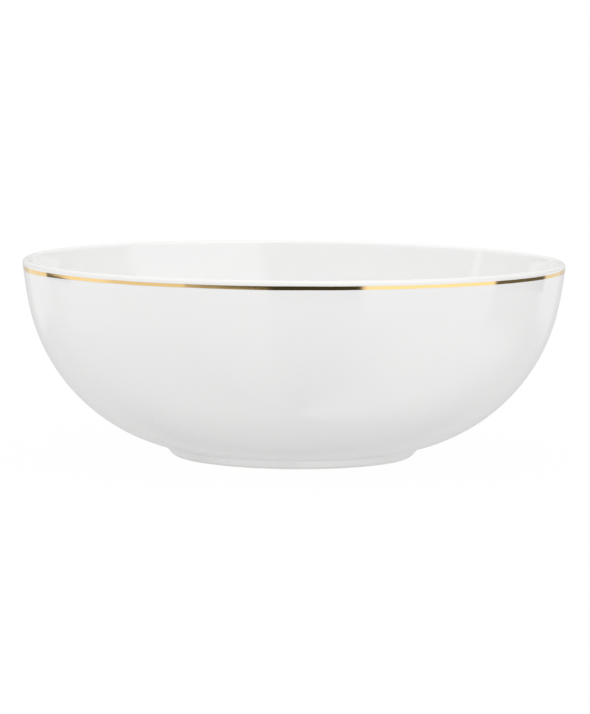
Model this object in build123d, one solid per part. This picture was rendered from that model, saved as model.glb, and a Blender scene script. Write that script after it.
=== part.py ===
"""Round porcelain serving bowl on a low foot ring, with a gold line under its lip.

The pieces are the ones it is made from: the pressed clay bowl, the foot ring luted under it, the glass
glaze that coats all but the foot's standing edge, and the gold band fired on top of the glaze.
Every piece is turned about +Z. Millimetres, with the origin on the table at the centre of the foot.
"""

from build123d import *
from math import asin, cos, radians, sin
import os

# Overall sizes, measured over the finished glaze
RIM_DIAMETER = 230.0
HEIGHT = 83.2

# Clay wall
LIP_THICKNESS = 2.6
WALL_THICKNESS = 3.4          # where the steep upper wall ends
LIP_LEAN = 5.5                # degrees that the wall leans outward at the lip
UPPER_WALL_RADIUS = 160.0     # curvature of the steep upper wall, seen from the side
UPPER_WALL_DEPTH = 18.0

# Clay floor
FLOOR_THICKNESS = 4.0         # at the centre
FLOOR_DISH_RADIUS = 1500.0    # the inside of the floor is very slightly dished

# Foot ring
FOOT_HEIGHT = 4.5             # the standing face up to the plane where the ring is luted on
FOOT_TOP_DIAMETER = 108.4
FOOT_BOTTOM_DIAMETER = 101.6  # outer edge of the standing face, before its corner is rounded
FOOT_FACE_WIDTH = 3.0         # standing face, before its corners are rounded
FOOT_SEAT_WIDTH = 9.8         # of the luted face on top of the ring
FOOT_EDGE_RADIUS = 0.8
RECESS_DOME = 0.5             # rise of the underside from the ring to the centre

# Glaze
GLAZE_THICKNESS = 0.25
GLAZE_WIPE_HEIGHT = 0.9       # the foot is wiped clean up to here
POOL_RADIUS = 0.9             # glaze gathered in the corner between foot and wall
RECESS_POOL_RADIUS = 2.0      # glaze gathered in the corner under the floor

# Gold band
BAND_DROP = 2.1               # the lip's top down to the band's upper edge
BAND_WIDTH = 1.35
BAND_THICKNESS = 0.2          # far more than real fired gold, so that it is a sound solid

LEAN = radians(LIP_LEAN)
LIP_RADIUS = LIP_THICKNESS / 2
LIP_CENTRE = Vector(
    RIM_DIAMETER / 2 - GLAZE_THICKNESS - LIP_RADIUS,
    HEIGHT - GLAZE_THICKNESS - LIP_RADIUS,
)
FOOT_TOP_RADIUS = FOOT_TOP_DIAMETER / 2
FOOT_BOTTOM_RADIUS = FOOT_BOTTOM_DIAMETER / 2
RECESS_RADIUS = FOOT_TOP_RADIUS - FOOT_SEAT_WIDTH
FLOOR_HEIGHT = FOOT_HEIGHT + RECESS_DOME + FLOOR_THICKNESS


def outward(angle):
    """The outward direction of a wall that leans by this angle, in radians."""
    return Vector(cos(angle), -sin(angle))


def downward(angle):
    """The direction down a wall that leans by this angle."""
    return Vector(-sin(angle), -cos(angle))


# The outer face of the upper wall is one arc, from the lip down to where the belly begins
LIP_OUTER = LIP_CENTRE + outward(LEAN) * LIP_RADIUS
LIP_INNER = LIP_CENTRE - outward(LEAN) * LIP_RADIUS
UPPER_WALL_CENTRE = LIP_OUTER - outward(LEAN) * UPPER_WALL_RADIUS
BELLY_LEAN = asin(sin(LEAN) + UPPER_WALL_DEPTH / UPPER_WALL_RADIUS)
BELLY_OUTER = UPPER_WALL_CENTRE + outward(BELLY_LEAN) * UPPER_WALL_RADIUS
BELLY_INNER = BELLY_OUTER - outward(BELLY_LEAN) * WALL_THICKNESS


def bowl_section():
    """Half section of the clay bowl, with the radius along X and the height along Y."""
    seat_outer = Vector(FOOT_TOP_RADIUS, FOOT_HEIGHT)
    seat_inner = Vector(RECESS_RADIUS, FOOT_HEIGHT)
    under_centre = Vector(0, FOOT_HEIGHT + RECESS_DOME)
    floor_centre = Vector(0, FLOOR_HEIGHT)

    inner_upper_wall = TangentArc(LIP_INNER, BELLY_INNER, tangent=downward(LEAN))
    fall = (inner_upper_wall % 1).normalized()

    # The inner belly arc is tangent to the upper wall at one end and to the dished floor at the other
    dish_centre = floor_centre + Vector(0, FLOOR_DISH_RADIUS)
    inward = Vector(fall.Y, -fall.X)
    gap = BELLY_INNER - dish_centre
    belly_radius = (FLOOR_DISH_RADIUS**2 - gap.dot(gap)) / (2 * (gap.dot(inward) + FLOOR_DISH_RADIUS))
    belly_centre = BELLY_INNER + inward * belly_radius
    dish_edge = dish_centre + (belly_centre - dish_centre).normalized() * FLOOR_DISH_RADIUS

    outline = [
        RadiusArc(floor_centre, dish_edge, -FLOOR_DISH_RADIUS),
        TangentArc(BELLY_INNER, dish_edge, tangent=fall),
        inner_upper_wall,
        ThreePointArc(LIP_INNER, LIP_CENTRE + Vector(0, LIP_RADIUS), LIP_OUTER),
        TangentArc(LIP_OUTER, BELLY_OUTER, tangent=downward(LEAN)),
        TangentArc(BELLY_OUTER, seat_outer, tangent=downward(BELLY_LEAN)),
        Line(seat_outer, seat_inner),
        TangentArc(under_centre, seat_inner, tangent=(1, 0)),
        Line(under_centre, floor_centre),
    ]
    return make_face(outline)


def foot_section():
    """Half section of the foot ring: wide where it is luted on, narrow and rounded where it stands."""
    ring = make_face(
        Polyline(
            (FOOT_TOP_RADIUS, FOOT_HEIGHT),
            (FOOT_BOTTOM_RADIUS, 0),
            (FOOT_BOTTOM_RADIUS - FOOT_FACE_WIDTH, 0),
            (RECESS_RADIUS, FOOT_HEIGHT),
            close=True,
        )
    )
    return fillet(ring.vertices().group_by(Axis.Y)[0], FOOT_EDGE_RADIUS)


def glaze_sections(clay):
    """The coat over the clay, in two parts that the wiped foot keeps apart: inside and out, and under the base."""
    coat = offset(clay, GLAZE_THICKNESS) - clay
    coat &= Pos(0, GLAZE_WIPE_HEIGHT) * Rectangle(RIM_DIAMETER, 2 * HEIGHT, align=(Align.MIN, Align.MIN))
    for corner_radius, pool_radius in ((FOOT_TOP_RADIUS, POOL_RADIUS), (RECESS_RADIUS, RECESS_POOL_RADIUS)):
        # The nearest vertex is the clay's own corner, and the next is the corner of the glaze over it
        glaze_corner = coat.vertices().sort_by_distance((corner_radius, FOOT_HEIGHT))[1]
        coat = fillet(glaze_corner, pool_radius)
    base_glaze, bowl_glaze = coat.faces().sort_by(SortBy.AREA)
    return bowl_glaze, base_glaze


def band_section():
    """Half section of the gold band, lying on the glaze of the upper wall."""
    top = HEIGHT - BAND_DROP
    face_radius = UPPER_WALL_RADIUS + GLAZE_THICKNESS

    def on_wall(height, radius):
        return UPPER_WALL_CENTRE + outward(asin((UPPER_WALL_CENTRE.Y - height) / face_radius)) * radius

    corners = [
        on_wall(top, face_radius),
        on_wall(top - BAND_WIDTH, face_radius),
        on_wall(top - BAND_WIDTH, face_radius + BAND_THICKNESS),
        on_wall(top, face_radius + BAND_THICKNESS),
    ]
    return make_face(
        [
            RadiusArc(corners[0], corners[1], face_radius),
            Line(corners[1], corners[2]),
            RadiusArc(corners[3], corners[2], face_radius + BAND_THICKNESS),
            Line(corners[3], corners[0]),
        ]
    )


def turned(section):
    """The solid of revolution that a half section makes about the bowl's axis."""
    return revolve(Plane.XZ * section, Axis.Z)


def main():
    bowl, foot = bowl_section(), foot_section()
    bowl_glaze, base_glaze = glaze_sections(bowl + foot)
    sections = {
        "bowl_body": bowl,
        "foot_ring": foot,
        "bowl_glaze": bowl_glaze,
        "base_glaze": base_glaze,
        "gold_band": band_section(),
    }
    os.makedirs("parts", exist_ok=True)
    for node, section in sections.items():
        export_step(turned(section), f"parts/{node}.step")


main()
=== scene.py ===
"""The porcelain serving bowl, thrown piece by piece on its axis and set on a pale studio sweep.

Each piece is drawn as a half section of straight runs and arcs, and turned about the bowl's axis. The kiln
then twists all of them alike, the glaze coats get their ripple and thickness, and the gilder's line is laid
on the finished glaze. Sizes are millimetres times MM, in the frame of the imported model.
"""

from math import asin, atan2, cos, degrees, exp, pi, radians, sin

import bpy
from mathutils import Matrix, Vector


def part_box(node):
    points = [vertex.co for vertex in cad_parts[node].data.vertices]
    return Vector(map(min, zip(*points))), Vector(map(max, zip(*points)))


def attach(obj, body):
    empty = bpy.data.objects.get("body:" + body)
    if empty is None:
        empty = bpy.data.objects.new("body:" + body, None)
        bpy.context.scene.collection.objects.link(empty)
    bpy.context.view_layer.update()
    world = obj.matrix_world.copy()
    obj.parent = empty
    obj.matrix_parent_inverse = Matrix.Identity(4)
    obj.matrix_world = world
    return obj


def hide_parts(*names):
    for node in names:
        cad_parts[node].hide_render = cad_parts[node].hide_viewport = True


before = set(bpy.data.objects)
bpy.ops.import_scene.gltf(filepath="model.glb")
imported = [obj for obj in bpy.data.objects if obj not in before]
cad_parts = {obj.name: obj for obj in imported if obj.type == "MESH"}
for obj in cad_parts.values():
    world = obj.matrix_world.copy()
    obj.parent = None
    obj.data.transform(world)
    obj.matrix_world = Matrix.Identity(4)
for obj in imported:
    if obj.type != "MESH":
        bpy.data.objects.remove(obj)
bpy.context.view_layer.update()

MM = 0.001
MERGED = 0.001 * MM               # points closer than this are one point
TURNS = 320                       # steps round the axis
GILDED_TURNS = 720                # finer, for the uneven edges of the gilded line

# The finished bowl, measured over its glaze
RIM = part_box("bowl_glaze")[1].x
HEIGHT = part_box("bowl_glaze")[1].z
GLAZE = 0.25 * MM
GLAZE_END_ROUNDING = 0.1 * MM     # where a coat stops on the foot
LIP_RADIUS = 1.55 * MM
LIP_LEAN = radians(5.5)
UPPER_WALL_RADIUS = 160.25 * MM
UPPER_WALL_DEPTH = 18 * MM
WALL = 3.9 * MM                   # over both coats, where the steep upper wall ends
FLOOR = 9.25 * MM                 # the lowest point of the inside
FLOOR_DISH_RADIUS = 1500 * MM

# The clay foot ring
FOOT_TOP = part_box("foot_ring")[1].x
FOOT_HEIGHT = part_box("foot_ring")[1].z
FOOT_EDGE = 50.8 * MM             # outer edge of the standing face, before its corner is rounded
FOOT_FACE = 3 * MM
FOOT_ROUNDING = 0.48 * MM         # set back from each corner of the standing face
SEAT_WIDTH = 9.8 * MM
RECESS_DOME = 0.5 * MM

# The glaze round the foot
WIPE_HEIGHT = 0.9 * MM            # the foot is wiped clean of glaze up to here
COAT_CORNER = Vector((0.12, -0.18)) * MM  # from beside the foot's top to where wall and foot coats meet
POOL = 0.7 * MM                   # glaze gathered where the foot meets the wall
RECESS_POOL = 1.6 * MM            # and under the floor

# The gilded line
LINE_DROP = 2.2 * MM
LINE_WIDTH = 1.35 * MM
LINE_THICKNESS = 0.04 * MM
LINE_WAVER = 0.5 * MM             # how unevenly the brush leaves its edges
TREMBLE_LENGTH = 11 * MM          # of the waver's short waves
DRIFT_LENGTH = 45 * MM            # and of its long ones
SWELL = 1 * MM                    # of an edge, under the heaviest touch of the brush
BRUSH_TOUCHES = (
    # degrees round from the front, spread in degrees, shares of SWELL at the lower and the upper edge
    (-74, 14, 1.0, 0),
    (80, 9, 0.2, 0.45),
    (0, 16, 0.25, 0.1),
)

# What the kiln leaves
TWISTED_SQUARE = 2.2 * RIM        # the side of a square a little wider than the rim
KILN_TWIST = 0.43 * MM            # two opposite corners of that square sink by this, the others lift
RIPPLE = 0.05 * MM
RIPPLE_LENGTH = 28 * MM


# ---------------------------------------------------------------- throwing and finishing a piece

def select_nothing():
    bpy.ops.object.select_all(action="DESELECT")


def take(piece):
    """Makes the piece the only one selected."""
    select_nothing()
    piece.select_set(True)
    bpy.context.view_layer.objects.active = piece


def throw(name, start, moves, turns=TURNS):
    """A piece turned about the bowl's axis from a half section, whose points are (radius, height).

    A move is (end, steps) for a straight run, or (end, steps, centre) for an arc that goes the short way.
    """
    select_nothing()
    bpy.ops.mesh.primitive_plane_add(size=MM, location=(start.x, 0, start.y))
    bpy.ops.object.transform_apply(location=True, rotation=False, scale=False)
    piece = bpy.context.object
    piece.name = piece.data.name = name
    bpy.ops.object.mode_set(mode="EDIT")
    bpy.ops.mesh.select_all(action="SELECT")
    # The section's first point, from which it is drawn
    bpy.ops.mesh.merge(type="CENTER")
    for end, steps, *centre in moves:
        if centre:
            a, b = start - centre[0], end - centre[0]
            angle = atan2(a.x * b.y - a.y * b.x, a.dot(b))
            bpy.ops.mesh.spin(steps=steps, angle=angle, center=(centre[0].x, 0, centre[0].y), axis=(0, 1, 0))
        else:
            step = (end - start) / steps
            for _ in range(steps):
                bpy.ops.mesh.extrude_vertices_move(TRANSFORM_OT_translate={"value": (step.x, 0, step.y)})
        start = end
    bpy.ops.mesh.select_all(action="SELECT")
    bpy.ops.mesh.remove_doubles(threshold=MERGED)
    bpy.ops.mesh.spin(steps=turns, angle=2 * pi, center=(0, 0, 0), axis=(0, 0, 1))
    bpy.ops.mesh.select_all(action="SELECT")
    bpy.ops.mesh.remove_doubles(threshold=MERGED)
    bpy.ops.mesh.normals_make_consistent(inside=False)
    bpy.ops.mesh.faces_shade_smooth()
    bpy.ops.object.mode_set(mode="OBJECT")
    return piece


def round_ring(piece, corner, amount, segments):
    """Rounds the ring of edges that runs round the axis through this corner of the section."""
    take(piece)
    bpy.ops.object.mode_set(mode="EDIT")
    bpy.ops.mesh.select_mode(type="EDGE")
    bpy.ops.mesh.select_all(action="DESELECT")
    bpy.ops.object.mode_set(mode="OBJECT")
    near = 0.02 * MM
    for edge in piece.data.edges:
        ends = [piece.data.vertices[i].co for i in edge.vertices]
        edge.select = all((Vector((co.xy.length, co.z)) - corner).length < near for co in ends)
    bpy.ops.object.mode_set(mode="EDIT")
    bpy.ops.mesh.bevel(offset=amount, offset_type="OFFSET", segments=segments, profile=0.5)
    bpy.ops.mesh.select_mode(type="VERT")
    bpy.ops.object.mode_set(mode="OBJECT")


def add_modifier(piece, kind, **settings):
    modifier = piece.modifiers.new(kind.title(), kind)
    for name, value in settings.items():
        setattr(modifier, name, value)


def apply_modifiers(piece):
    take(piece)
    for modifier in list(piece.modifiers):
        bpy.ops.object.modifier_apply(modifier=modifier.name)


# ---------------------------------------------------------------- the curves of the section

def outward(lean):
    """The outward direction of a wall that leans this much."""
    return Vector((cos(lean), -sin(lean)))


def centre_along(start, direction, end):
    """The centre, from start along a direction, of the arc that also passes through end."""
    gap = end - start
    return start + direction * (gap.dot(gap) / (2 * gap.dot(direction)))


BELLY_LEAN = asin(sin(LIP_LEAN) + UPPER_WALL_DEPTH / (UPPER_WALL_RADIUS - GLAZE))
LIP_CENTRE = Vector((RIM - LIP_RADIUS, HEIGHT - LIP_RADIUS))
UPPER_WALL_CENTRE = LIP_CENTRE + outward(LIP_LEAN) * (LIP_RADIUS - UPPER_WALL_RADIUS)
SEAT_OUTER = Vector((FOOT_TOP, FOOT_HEIGHT))
SEAT_INNER = Vector((FOOT_TOP - SEAT_WIDTH, FOOT_HEIGHT))
FACE_OUTER = Vector((FOOT_EDGE, 0))
FACE_INNER = Vector((FOOT_EDGE - FOOT_FACE, 0))
UNDER_CENTRE = Vector((0, FOOT_HEIGHT + RECESS_DOME))
STRAIGHT_DOWN = Vector((0, -1))


def bowl_moves(skin, corner):
    """The start and the moves from the inside's centre, over the lip, to the corner where the foot begins.

    skin is how deep this surface lies under the finished glaze.
    """
    lip_outer = LIP_CENTRE + outward(LIP_LEAN) * (LIP_RADIUS - skin)
    lip_inner = LIP_CENTRE - outward(LIP_LEAN) * (LIP_RADIUS - skin)
    lip_top = LIP_CENTRE + Vector((0, LIP_RADIUS - skin))
    belly_outer = UPPER_WALL_CENTRE + outward(BELLY_LEAN) * (UPPER_WALL_RADIUS - skin)
    belly_inner = belly_outer - outward(BELLY_LEAN) * (WALL - 2 * skin)
    inner_wall_centre = centre_along(lip_inner, -outward(LIP_LEAN), belly_inner)

    # The inner belly is tangent to the upper wall at one end and to the dished floor at the other
    floor = Vector((0, FLOOR - skin))
    dish_centre = floor + Vector((0, FLOOR_DISH_RADIUS))
    inward = (inner_wall_centre - belly_inner).normalized()
    gap = belly_inner - dish_centre
    belly_radius = (FLOOR_DISH_RADIUS**2 - gap.dot(gap)) / (2 * (gap.dot(inward) + FLOOR_DISH_RADIUS))
    belly_centre = belly_inner + inward * belly_radius
    dish_edge = dish_centre + (belly_centre - dish_centre).normalized() * FLOOR_DISH_RADIUS
    return floor, [
        (dish_edge, 8, dish_centre),
        (belly_inner, 32, belly_centre),
        (lip_inner, 8, inner_wall_centre),
        (lip_top, 9, LIP_CENTRE),
        (lip_outer, 9, LIP_CENTRE),
        (belly_outer, 10, UPPER_WALL_CENTRE),
        (corner, 42, centre_along(belly_outer, -outward(BELLY_LEAN), corner)),
    ]


def beside_foot(bottom, top, height, skin):
    """The point that lies a skin's thickness out of the foot's slanted side, at this height up its clay."""
    slope = top - bottom
    away = Vector((slope.y, -slope.x)).normalized() * (1 if top.x > bottom.x else -1)
    return bottom + slope * (height / FOOT_HEIGHT) + away * skin


# ---------------------------------------------------------------- the five pieces

def throw_porcelain_wall():
    """The pressed clay bowl, under its glaze."""
    start, moves = bowl_moves(GLAZE, SEAT_OUTER)
    underside = centre_along(UNDER_CENTRE, STRAIGHT_DOWN, SEAT_INNER)
    return throw("porcelain_wall", start, moves + [(SEAT_INNER, 4), (UNDER_CENTRE, 12, underside)])


def throw_porcelain_foot():
    """The foot ring, luted on by its wide face and rounded where it stands."""
    moves = [(FACE_OUTER, 6), (FACE_INNER, 4), (SEAT_INNER, 6), (SEAT_OUTER, 4)]
    foot = throw("porcelain_foot", SEAT_OUTER, moves)
    for corner in (FACE_OUTER, FACE_INNER):
        round_ring(foot, corner, FOOT_ROUNDING, segments=5)
    return foot


def throw_wall_glaze():
    """The sheet of glaze from the inside's centre, over the lip, down the wall and foot to the wiped edge."""
    corner = beside_foot(FACE_OUTER, SEAT_OUTER, FOOT_HEIGHT, GLAZE) + COAT_CORNER
    wiped = beside_foot(FACE_OUTER, SEAT_OUTER, WIPE_HEIGHT, GLAZE)
    start, moves = bowl_moves(0, corner)
    coat = throw("wall_glaze", start, moves + [(wiped, 4)])
    round_ring(coat, corner, POOL, segments=5)
    return coat


def throw_underside_glaze():
    """The sheet of glaze inside the foot ring."""
    start = UNDER_CENTRE + STRAIGHT_DOWN * GLAZE
    corner = beside_foot(FACE_INNER, SEAT_INNER, FOOT_HEIGHT, GLAZE) + STRAIGHT_DOWN * GLAZE
    wiped = beside_foot(FACE_INNER, SEAT_INNER, WIPE_HEIGHT, GLAZE)
    moves = [(corner, 14, centre_along(start, STRAIGHT_DOWN, corner)), (wiped, 2)]
    coat = throw("underside_glaze", start, moves)
    round_ring(coat, corner, RECESS_POOL, segments=6)
    return coat


def on_upper_wall(height):
    """The point of the glazed upper wall at this height."""
    lean = asin((UPPER_WALL_CENTRE.y - height) / UPPER_WALL_RADIUS)
    return UPPER_WALL_CENTRE + outward(lean) * UPPER_WALL_RADIUS


def draw_gilded_line():
    """The sheet that the gilder's brush leaves on the upper wall, still of even width."""
    top = on_upper_wall(HEIGHT - LINE_DROP)
    bottom = on_upper_wall(HEIGHT - LINE_DROP - LINE_WIDTH)
    return throw("gilded_line", top, [(bottom, 4, UPPER_WALL_CENTRE)], GILDED_TURNS)


def cloud(name, size):
    texture = bpy.data.textures.new(name, "CLOUDS")
    texture.noise_scale = size
    return texture


def sag_in_kiln(pieces):
    """Twists every piece alike, so that the rim is a little out of level and the foot still stands flat."""
    select_nothing()
    bpy.ops.object.add(type="LATTICE", location=(0, 0, HEIGHT / 2))
    cage = bpy.context.object
    cage.scale = (TWISTED_SQUARE, TWISTED_SQUARE, HEIGHT)
    cage.data.interpolation_type_u = "KEY_LINEAR"
    cage.data.interpolation_type_v = "KEY_LINEAR"
    cage.data.interpolation_type_w = "KEY_LINEAR"
    for point in cage.data.points:
        if point.co.z > 0:
            point.co_deform.z -= KILN_TWIST / HEIGHT * (1 if point.co.x * point.co.y > 0 else -1)
    for piece in pieces:
        add_modifier(piece, "LATTICE", object=cage)
        apply_modifiers(piece)
    bpy.data.objects.remove(cage)


def flow_glaze(coat):
    """Leaves the coat faintly rippled where the glaze ran, gives it its thickness and rounds its end."""
    run = cloud("glaze_run", RIPPLE_LENGTH)
    add_modifier(coat, "DISPLACE", texture=run, texture_coords="LOCAL", strength=RIPPLE)
    add_modifier(coat, "SOLIDIFY", thickness=GLAZE, offset=-1)
    add_modifier(
        coat, "BEVEL", width=GLAZE_END_ROUNDING, segments=3, limit_method="ANGLE", angle_limit=radians(50)
    )
    apply_modifiers(coat)


def waver_line(line, glaze):
    """Makes the line's edges uneven, as a brush held to a turning bowl does, and lays it on the glaze."""
    lower_edge = line.vertex_groups.new(name="lower_edge")
    upper_edge = line.vertex_groups.new(name="upper_edge")
    swell_down = line.vertex_groups.new(name="swell_down")
    swell_up = line.vertex_groups.new(name="swell_up")
    heights = [vertex.co.z for vertex in line.data.vertices]
    top, bottom = max(heights), min(heights)
    for vertex in line.data.vertices:
        down = (top - vertex.co.z) / (top - bottom)
        around = degrees(atan2(vertex.co.x, -vertex.co.y))
        lower_swell = upper_swell = 0
        for middle, spread, lower_share, upper_share in BRUSH_TOUCHES:
            nearness = exp(-(((around - middle) / spread) ** 2))
            lower_swell += nearness * lower_share
            upper_swell += nearness * upper_share
        lower_edge.add([vertex.index], down, "REPLACE")
        upper_edge.add([vertex.index], 1 - down, "REPLACE")
        swell_down.add([vertex.index], min(1, down * lower_swell), "REPLACE")
        swell_up.add([vertex.index], min(1, (1 - down) * upper_swell), "REPLACE")

    tremble = cloud("brush_tremble", TREMBLE_LENGTH)
    drift = cloud("brush_drift", DRIFT_LENGTH)
    for texture, edge, share in (
        (tremble, lower_edge, 0.35),
        (drift, lower_edge, 1),
        (tremble, upper_edge, 0.25),
        (drift, upper_edge, 0.4),
    ):
        add_modifier(
            line, "DISPLACE", texture=texture, texture_coords="LOCAL", direction="Z",
            vertex_group=edge.name, strength=share * LINE_WAVER,
        )
    for group, strength in ((swell_down, -SWELL), (swell_up, SWELL)):
        add_modifier(line, "DISPLACE", direction="Z", mid_level=0, vertex_group=group.name, strength=strength)
    add_modifier(line, "SHRINKWRAP", target=glaze)
    add_modifier(line, "SOLIDIFY", thickness=LINE_THICKNESS, offset=1)
    apply_modifiers(line)
    # Keeps the thin edge from shading the line's face
    bpy.ops.object.shade_smooth_by_angle(angle=radians(35))


wall = throw_porcelain_wall()
foot = throw_porcelain_foot()
wall_glaze = throw_wall_glaze()
underside_glaze = throw_underside_glaze()
line = draw_gilded_line()
sag_in_kiln([wall, foot, wall_glaze, underside_glaze, line])
flow_glaze(wall_glaze)
flow_glaze(underside_glaze)
waver_line(line, wall_glaze)


# ---------------------------------------------------------------- finishes

WALL_WHITE, WALL_GREY = (0.885, 0.885, 0.88), (0.862, 0.866, 0.864)
UNDERSIDE_WHITE, UNDERSIDE_GREY = (0.87, 0.87, 0.86), (0.84, 0.848, 0.848)
LIP_CREAM = (0.9, 0.885, 0.855)
GLAZE_SPECK = (0.35, 0.28, 0.22)
CLAY_LIGHT, CLAY_DARK = (0.86, 0.845, 0.815), (0.81, 0.79, 0.755)
TABLE_GREY = (0.5, 0.49, 0.47)
CLAY_SPECK = (0.42, 0.34, 0.26)
GOLD, GOLD_STROKE = (1.0, 0.705, 0.315), (0.97, 0.64, 0.26)
GOLD_THIN = (0.96, 0.72, 0.4)
GLAZE_THROUGH_GOLD = (0.85, 0.82, 0.76)

GLAZE_IOR = 1.5
GATHERS_FROM = FOOT_HEIGHT + 2.2 * MM     # going down the wall, where the glaze begins to lie thicker
GATHERED_AT = FOOT_HEIGHT - 0.4 * MM
THINS_FROM = HEIGHT - 1.6 * MM            # going up to the lip, where it begins to thin
THIN_AT = HEIGHT - 0.2 * MM
STANDS_BELOW = 0.5 * MM                   # the part of the foot that the table polishes
STANDS_AT = 0.02 * MM


class Nodes:
    """A node tree with short calls: a socket is given a value, or another node's output to follow."""

    def __init__(self, tree):
        self.tree = tree

    def add(self, kind, settings=None, **inputs):
        node = self.tree.nodes.new("ShaderNode" + kind)
        for name, value in (settings or {}).items():
            setattr(node, name, value)
        for name, value in inputs.items():
            self.feed(node, name.replace("_", " "), value)
        return node

    def feed(self, node, socket, value):
        """Feeds the node's socket, which is given by its label or its number."""
        if isinstance(value, bpy.types.NodeSocket):
            self.tree.links.new(value, node.inputs[socket])
        else:
            node.inputs[socket].default_value = value

    def math(self, operation, *values):
        node = self.add("Math", {"operation": operation})
        for number, value in enumerate(values):
            self.feed(node, number, value)
        return node.outputs[0]

    def noise(self, vector, scale, detail=2.0, roughness=0.5):
        node = self.add("TexNoise", Vector=vector, Scale=scale, Detail=detail, Roughness=roughness)
        return node.outputs["Fac"]

    def spread(self, value, low, high, to_low=0.0, to_high=1.0):
        """The value taken smoothly from one range to another."""
        node = self.add("MapRange", {"interpolation_type": "SMOOTHSTEP"}, Value=value)
        for socket, limit in zip(("From Min", "From Max", "To Min", "To Max"), (low, high, to_low, to_high)):
            self.feed(node, socket, limit)
        return node.outputs["Result"]

    def blend(self, share, first, second):
        """A colour between two colours."""
        node = self.add("Mix", {"data_type": "RGBA"})
        self.feed(node, 0, share)
        color_sockets = [number for number, socket in enumerate(node.inputs) if socket.type == "RGBA"]
        for number, color in zip(color_sockets, (first, second)):
            self.feed(node, number, color if isinstance(color, bpy.types.NodeSocket) else (*color, 1))
        return next(socket for socket in node.outputs if socket.type == "RGBA")


def effect(name, inputs, outputs):
    """An empty node group for an effect that finishes share: its tree, what goes in and what comes out."""
    tree = bpy.data.node_groups.new(name, "ShaderNodeTree")
    for label, value in inputs.items():
        kind = "NodeSocketVector" if value is None else "NodeSocketFloat"
        socket = tree.interface.new_socket(label, in_out="INPUT", socket_type=kind)
        if value is not None:
            socket.default_value = value
    for label in outputs:
        tree.interface.new_socket(label, in_out="OUTPUT", socket_type="NodeSocketFloat")
    return Nodes(tree), tree.nodes.new("NodeGroupInput").outputs, tree.nodes.new("NodeGroupOutput")


def glaze_flow_effect():
    """Where the glaze lies thick, and the faint orange peel of its surface."""
    inputs = {"Vector": None, "Patch Scale": 25.0, "Peel Scale": 260.0}
    n, given, out = effect("glaze_flow", inputs, ("Thick", "Peel"))
    patches = n.noise(given["Vector"], given["Patch Scale"], detail=1.5)
    n.feed(out, "Thick", n.spread(patches, 0.35, 0.7))
    n.feed(out, "Peel", n.noise(given["Vector"], given["Peel Scale"], detail=1.0, roughness=0.4))
    return n.tree


def kiln_speck_effect():
    """Rare dark specks and pinholes, each in its own cell."""
    inputs = {"Vector": None, "Cells": 90.0, "Size": 0.05, "Rarity": 0.97}
    n, given, out = effect("kiln_specks", inputs, ("Specks",))
    cells = n.add("TexVoronoi", Vector=given["Vector"], Scale=given["Cells"])
    near = n.math("LESS_THAN", cells.outputs["Distance"], given["Size"])
    pick = n.add("SeparateColor", Color=cells.outputs["Color"])
    chosen = n.math("GREATER_THAN", pick.outputs["Red"], given["Rarity"])
    n.feed(out, "Specks", n.math("MULTIPLY", near, chosen))
    return n.tree


def turning_mark_effect():
    """Fine rings about the bowl's axis, left by the turning tool or by the brush."""
    n, given, out = effect("turning_marks", {"Vector": None, "Rings": 900.0, "Wander": 0.6}, ("Rings",))
    x, y, z = n.add("SeparateXYZ", Vector=given["Vector"]).outputs
    radius = n.math("SQRT", n.math("ADD", n.math("MULTIPLY", x, x), n.math("MULTIPLY", y, y)))
    wander = n.math("MULTIPLY", n.noise(given["Vector"], scale=40.0), given["Wander"])
    across = n.math("MULTIPLY", n.math("ADD", radius, z), given["Rings"])
    place = n.add("CombineXYZ", X=n.math("ADD", across, wander)).outputs["Vector"]
    n.feed(out, "Rings", n.noise(place, scale=1.0, detail=3.0, roughness=0.6))
    return n.tree


GLAZE_FLOW = glaze_flow_effect()
KILN_SPECKS = kiln_speck_effect()
TURNING_MARKS = turning_mark_effect()


def new_finish(name):
    """A new material, with its nodes, its shader and the place on the piece."""
    material = bpy.data.materials.new(name)
    material.use_nodes = True
    n = Nodes(material.node_tree)
    place = n.add("TexCoord").outputs["Object"]
    return material, n, material.node_tree.nodes["Principled BSDF"], place


def use(n, tree, **inputs):
    """Places a shared effect with this finish's own values, and gives what comes out of it."""
    node = n.tree.nodes.new("ShaderNodeGroup")
    node.node_tree = tree
    for name, value in inputs.items():
        n.feed(node, name.replace("_", " "), value)
    return node.outputs


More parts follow.
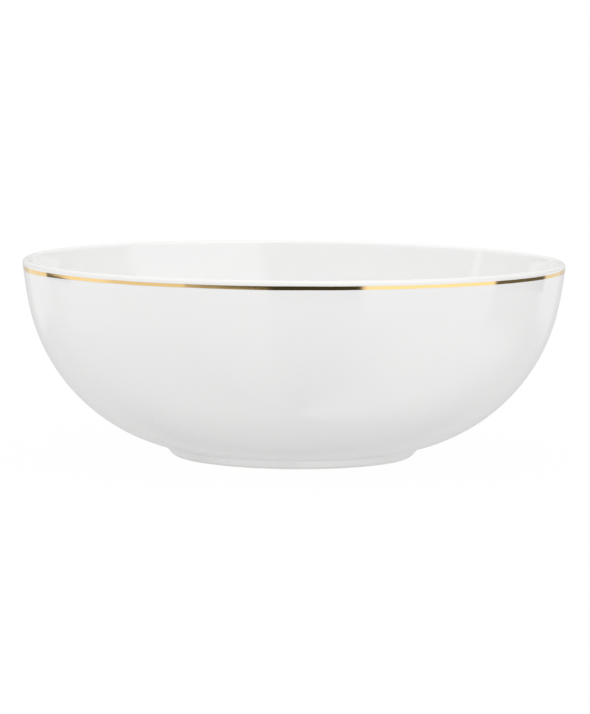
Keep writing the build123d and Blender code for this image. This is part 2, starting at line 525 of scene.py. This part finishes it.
def white_glaze(name, bright, shade, patches, peel, marks):
    """Clear glaze over white porcelain: greyer where it gathers, thin and creamy at the lip.

    patches and peel are noise scales, and marks is how strongly the turning marks show.
    """
    material, n, shader, place = new_finish(name)
    flow = use(n, GLAZE_FLOW, Vector=place, Patch_Scale=patches, Peel_Scale=peel)
    specks = use(n, KILN_SPECKS, Vector=place, Cells=70.0, Size=0.02, Rarity=0.985)["Specks"]
    rings = use(n, TURNING_MARKS, Vector=place, Rings=350.0)["Rings"]
    height = n.add("SeparateXYZ", Vector=place).outputs["Z"]
    gathered = n.spread(height, GATHERS_FROM, GATHERED_AT, to_high=0.25)
    thick = n.math("MAXIMUM", n.math("MULTIPLY", flow["Thick"], 0.4), gathered)
    thin = n.spread(height, THINS_FROM, THIN_AT, to_high=0.5)
    color = n.blend(thick, bright, shade)
    color = n.blend(thin, color, LIP_CREAM)
    color = n.blend(n.math("MULTIPLY", specks, 0.6), color, GLAZE_SPECK)
    n.feed(shader, "Base Color", color)
    n.feed(shader, "Roughness", n.spread(flow["Thick"], 0, 1, 0.06, 0.035))
    surface = n.math("ADD", n.math("MULTIPLY", flow["Peel"], 0.35), n.math("MULTIPLY", rings, marks))
    surface = n.math("SUBTRACT", surface, n.math("MULTIPLY", specks, 0.6))
    bump = n.add("Bump", Height=surface, Strength=0.5, Distance=0.012 * MM)
    n.feed(shader, "Normal", bump.outputs["Normal"])
    shader.inputs["IOR"].default_value = GLAZE_IOR
    return material


def bare_porcelain():
    """Unglazed fired clay, polished where it stands, with grey rubbed off the table."""
    material, n, shader, place = new_finish("bare_porcelain")
    grain = n.noise(place, scale=2600.0, detail=4.0, roughness=0.7)
    rings = use(n, TURNING_MARKS, Vector=place, Rings=1600.0)["Rings"]
    specks = use(n, KILN_SPECKS, Vector=place, Cells=420.0, Size=0.12, Rarity=0.94)["Specks"]
    height = n.add("SeparateXYZ", Vector=place).outputs["Z"]
    standing = n.spread(height, STANDS_BELOW, STANDS_AT)
    rubbed = n.math("MULTIPLY", standing, n.spread(n.noise(place, scale=130.0, detail=3.0), 0.5, 0.72))
    color = n.blend(n.spread(grain, 0.35, 0.65), CLAY_LIGHT, CLAY_DARK)
    color = n.blend(n.math("MULTIPLY", rubbed, 0.5), color, TABLE_GREY)
    color = n.blend(n.math("MULTIPLY", specks, 0.5), color, CLAY_SPECK)
    n.feed(shader, "Base Color", color)
    n.feed(shader, "Roughness", n.spread(standing, 0, 1, 0.72, 0.5))
    surface = n.math("ADD", n.math("MULTIPLY", grain, 0.6), n.math("MULTIPLY", rings, 0.8))
    bump = n.add("Bump", Height=surface, Strength=0.8, Distance=0.03 * MM)
    n.feed(shader, "Normal", bump.outputs["Normal"])
    return material


def fired_gold():
    """Bright burnished gold, brushed on round the bowl: thin and paler in places, with a few rubbed spots."""
    material, n, shader, place = new_finish("fired_gold")
    rings = use(n, TURNING_MARKS, Vector=place, Rings=7000.0, Wander=2.0)["Rings"]
    strokes = n.spread(rings, 0.35, 0.7)
    thin = n.spread(n.noise(place, scale=85.0, detail=2.0), 0.5, 0.75)
    worn = n.spread(n.noise(place, scale=1500.0, detail=3.0, roughness=0.65), 0.74, 0.78)
    color = n.blend(n.math("MULTIPLY", strokes, 0.5), GOLD, GOLD_STROKE)
    color = n.blend(n.math("MULTIPLY", thin, 0.4), color, GOLD_THIN)
    color = n.blend(worn, color, GLAZE_THROUGH_GOLD)
    n.feed(shader, "Base Color", color)
    n.feed(shader, "Metallic", n.math("SUBTRACT", 1.0, n.math("MULTIPLY", worn, 0.8)))
    n.feed(shader, "Roughness", n.spread(strokes, 0, 1, 0.04, 0.11))
    bump = n.add("Bump", Height=rings, Strength=0.5, Distance=0.002 * MM)
    n.feed(shader, "Normal", bump.outputs["Normal"])
    return material


bare = bare_porcelain()
wall_white = white_glaze("wall_glaze", WALL_WHITE, WALL_GREY, patches=25.0, peel=260.0, marks=0.15)
underside_white = white_glaze(
    "underside_glaze", UNDERSIDE_WHITE, UNDERSIDE_GREY, patches=40.0, peel=220.0, marks=1.0
)
for piece, node, material, slot in (
    (wall, "bowl_body", bare, "porcelain"),
    (foot, "foot_ring", bare, "porcelain"),
    (wall_glaze, "bowl_glaze", wall_white, "glaze"),
    (underside_glaze, "base_glaze", underside_white, "glaze"),
    (line, "gold_band", fired_gold(), "gold"),
):
    piece.data.materials.clear()
    piece.data.materials.append(material)
    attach(piece, "root")
    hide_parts(node)


# ---------------------------------------------------------------- the sweep, the light and the camera

SWEEP_SIZE = 60                   # metres, so that its edge is never seen
SWEEP_GAP = 0.02 * MM             # between the sweep and the foot
PAPER = (0.85, 0.85, 0.85, 1)
GLOW, GLOW_SEEN = 0.8, 1.0        # the sweep's own light, as the bowl gets it and as it is looked at
GLOW_SHARE, GLOW_SHARE_SEEN = 0.75, 0.97  # how much of the sweep is that light, and the rest is paper


def lay_sweep():
    """A pale floor with no horizon in sight, lit so evenly that the bowl's shadow on it is faint."""
    select_nothing()
    bpy.ops.mesh.primitive_plane_add(size=SWEEP_SIZE, location=(0, 0, -SWEEP_GAP))
    sweep = bpy.context.object
    sweep.name = "sweep"
    material = bpy.data.materials.new("pale_sweep")
    material.use_nodes = True
    n = Nodes(material.node_tree)
    paper = material.node_tree.nodes["Principled BSDF"]
    paper.inputs["Base Color"].default_value = PAPER
    paper.inputs["Roughness"].default_value = 0.9
    paper.inputs["Specular IOR Level"].default_value = 0
    seen = n.add("LightPath").outputs["Is Camera Ray"]
    glow = n.add("Emission", Strength=n.spread(seen, 0, 1, GLOW, GLOW_SEEN))
    mix = n.add("MixShader", Fac=n.spread(seen, 0, 1, GLOW_SHARE, GLOW_SHARE_SEEN))
    n.feed(mix, 1, paper.outputs["BSDF"])
    n.feed(mix, 2, glow.outputs["Emission"])
    n.feed(material.node_tree.nodes["Material Output"], "Surface", mix.outputs["Shader"])
    sweep.data.materials.append(material)
    sweep.visible_glossy = False


SURROUND = 1.06                   # brightness of the white walls, as they light the bowl
OVERHEAD = 0.2                    # how much brighter the light above and in front is
OVERHEAD_TILT = radians(18)       # toward the camera
OVERHEAD_STARTS, OVERHEAD_FULL = 0.5, 0.97  # cosines of the angle from the middle of that light
OVERHEAD_MIRRORED = 0.5           # share of it that the glaze and the gold mirror
MIRRORED = 0.5                    # brightness of the walls, as the glaze and the gold mirror them
PANELS = {
    # What the glaze and the gold mirror. In degrees: middle and half width round from the camera, soft edge;
    # lowest and highest above the horizon, soft edge; degrees it climbs per degree round; then brightness
    "right_side": (80, 40, 60, -90, -22, 12, 0, 1.3),
    "left_side": (-95, 35, 60, -90, -2, 12, 0, 0.85),
    "behind": (180, 45, 30, -38, 90, 16, 0, 0.68),
    "left_rear_wall": (-141, 13, 8, -14, -3, 4, 0, 0.92),
    "right_rear_wall": (143, 12, 8, -14, -3, 4, 0, 0.85),
    "left_softbox": (-81, 36, 6, -26, -2, 6, 0, 0.8),
    "left_lamp": (-100, 15, 10, -24, -3, 4, 0, 0.98),
    "front_gap": (-9, 37.5, 1.5, -20, -2, 4, 0, 0.045),
    "front_left_card": (-29, 19, 3, -90, -16.25, 0.4, -0.05, 0.8),
    "left_gap": (-119, 10, 2, -11.15, -10.35, 0.15, -0.134, 0.02),
    "right_softbox": (62, 32, 3, -26, -2, 6, 0, 1.15),
    "right_gap": (114, 19, 2, -12.3, -4, 0.6, 0.085, 0.13),
    "right_recess": (121, 30, 6, 0, 90, 3, 0, 0.35),
    "left_recess": (-121, 30, 6, 0, 90, 3, 0, 0.35),
    "front_wall": (0, 92, 4, 0, 90, 3, 0, 0.3),
    "window": (48, 33, 4, 0, 90, 3, 0, 1.35),
    "left_strip_light": (-92, 2, 2, 0, 90, 3, 0, 1.2),
}


def light_studio():
    """An even surround, a little brighter overhead, that glossy surfaces mirror as panels and dark gaps."""
    world = bpy.data.worlds.new("studio")
    bpy.context.scene.world = world
    world.use_nodes = True
    n = Nodes(world.node_tree)
    x, y, z = n.add("SeparateXYZ", Vector=n.add("TexCoord").outputs["Generated"]).outputs
    azimuth = n.math("DEGREES", n.math("ARCTAN2", x, n.math("MULTIPLY", y, -1.0)))
    elevation = n.math("DEGREES", n.math("ARCSINE", z))
    upward = n.math("MULTIPLY", z, cos(OVERHEAD_TILT))
    toward_lamp = n.math("SUBTRACT", upward, n.math("MULTIPLY", y, sin(OVERHEAD_TILT)))
    overhead = n.spread(toward_lamp, OVERHEAD_STARTS, OVERHEAD_FULL, to_high=OVERHEAD)

    mirrored = MIRRORED
    for name, (middle, half_width, side_edge, low, high, top_edge, climb, brightness) in PANELS.items():
        around = n.math("WRAP", n.math("SUBTRACT", azimuth, middle), 180, -180)
        across = n.spread(n.math("ABSOLUTE", around), half_width + side_edge / 2, half_width - side_edge / 2)
        up = n.math("SUBTRACT", elevation, n.math("MULTIPLY", around, climb))
        from_middle = n.math("ABSOLUTE", n.math("SUBTRACT", up, (low + high) / 2))
        half_height = (high - low) / 2
        along = n.spread(from_middle, half_height + top_edge / 2, half_height - top_edge / 2)
        mask = n.math("MULTIPLY", across, along)
        change = n.math("MULTIPLY", mask, n.math("SUBTRACT", brightness, mirrored))
        mirrored = n.math("ADD", mirrored, change)
        mirrored.node.label = name

    rays = n.add("LightPath").outputs
    glossy, seen = rays["Is Glossy Ray"], rays["Is Camera Ray"]
    walls = n.math("ADD", n.math("MULTIPLY", glossy, n.math("SUBTRACT", mirrored, SURROUND)), SURROUND)
    overhead = n.math("MULTIPLY", overhead, n.spread(glossy, 0, 1, 1.0, OVERHEAD_MIRRORED))
    light = n.math("ADD", walls, overhead)
    # The camera itself sees plain white beyond the sweep
    light = n.math("ADD", light, n.math("MULTIPLY", seen, n.math("SUBTRACT", 1.0, light)))
    background = world.node_tree.nodes["Background"]
    background.inputs["Color"].default_value = (1, 1, 1, 1)
    n.feed(background, "Strength", light)


AIM_HEIGHT = 41.4 * MM            # the camera looks at this height on the bowl's axis
CAMERA_DISTANCE = 1.5
CAMERA_ELEVATION = radians(5.89)
CAMERA_ROLL = -0.0094             # radians
LENS = 177.5                      # with SENSOR, in millimetres
SENSOR = 36
SHIFT = -0.0022                   # share of the picture's width
NEAREST, FARTHEST = 0.05, 100     # that the camera sees


def place_camera():
    """A long lens, looking slightly down over the rim, with the bowl filling the width."""
    bpy.ops.object.camera_add()
    camera = bpy.context.object
    back = Vector((0, -cos(CAMERA_ELEVATION), sin(CAMERA_ELEVATION)))
    camera.location = Vector((0, 0, AIM_HEIGHT)) + CAMERA_DISTANCE * back
    camera.rotation_euler = (pi / 2 - CAMERA_ELEVATION, CAMERA_ROLL, 0)
    camera.data.lens = LENS
    camera.data.sensor_width = SENSOR
    camera.data.shift_x = SHIFT
    camera.data.clip_start = NEAREST
    camera.data.clip_end = FARTHEST
    bpy.context.scene.camera = camera


lay_sweep()
light_studio()
place_camera()
bpy.context.scene.view_settings.view_transform = "Standard"
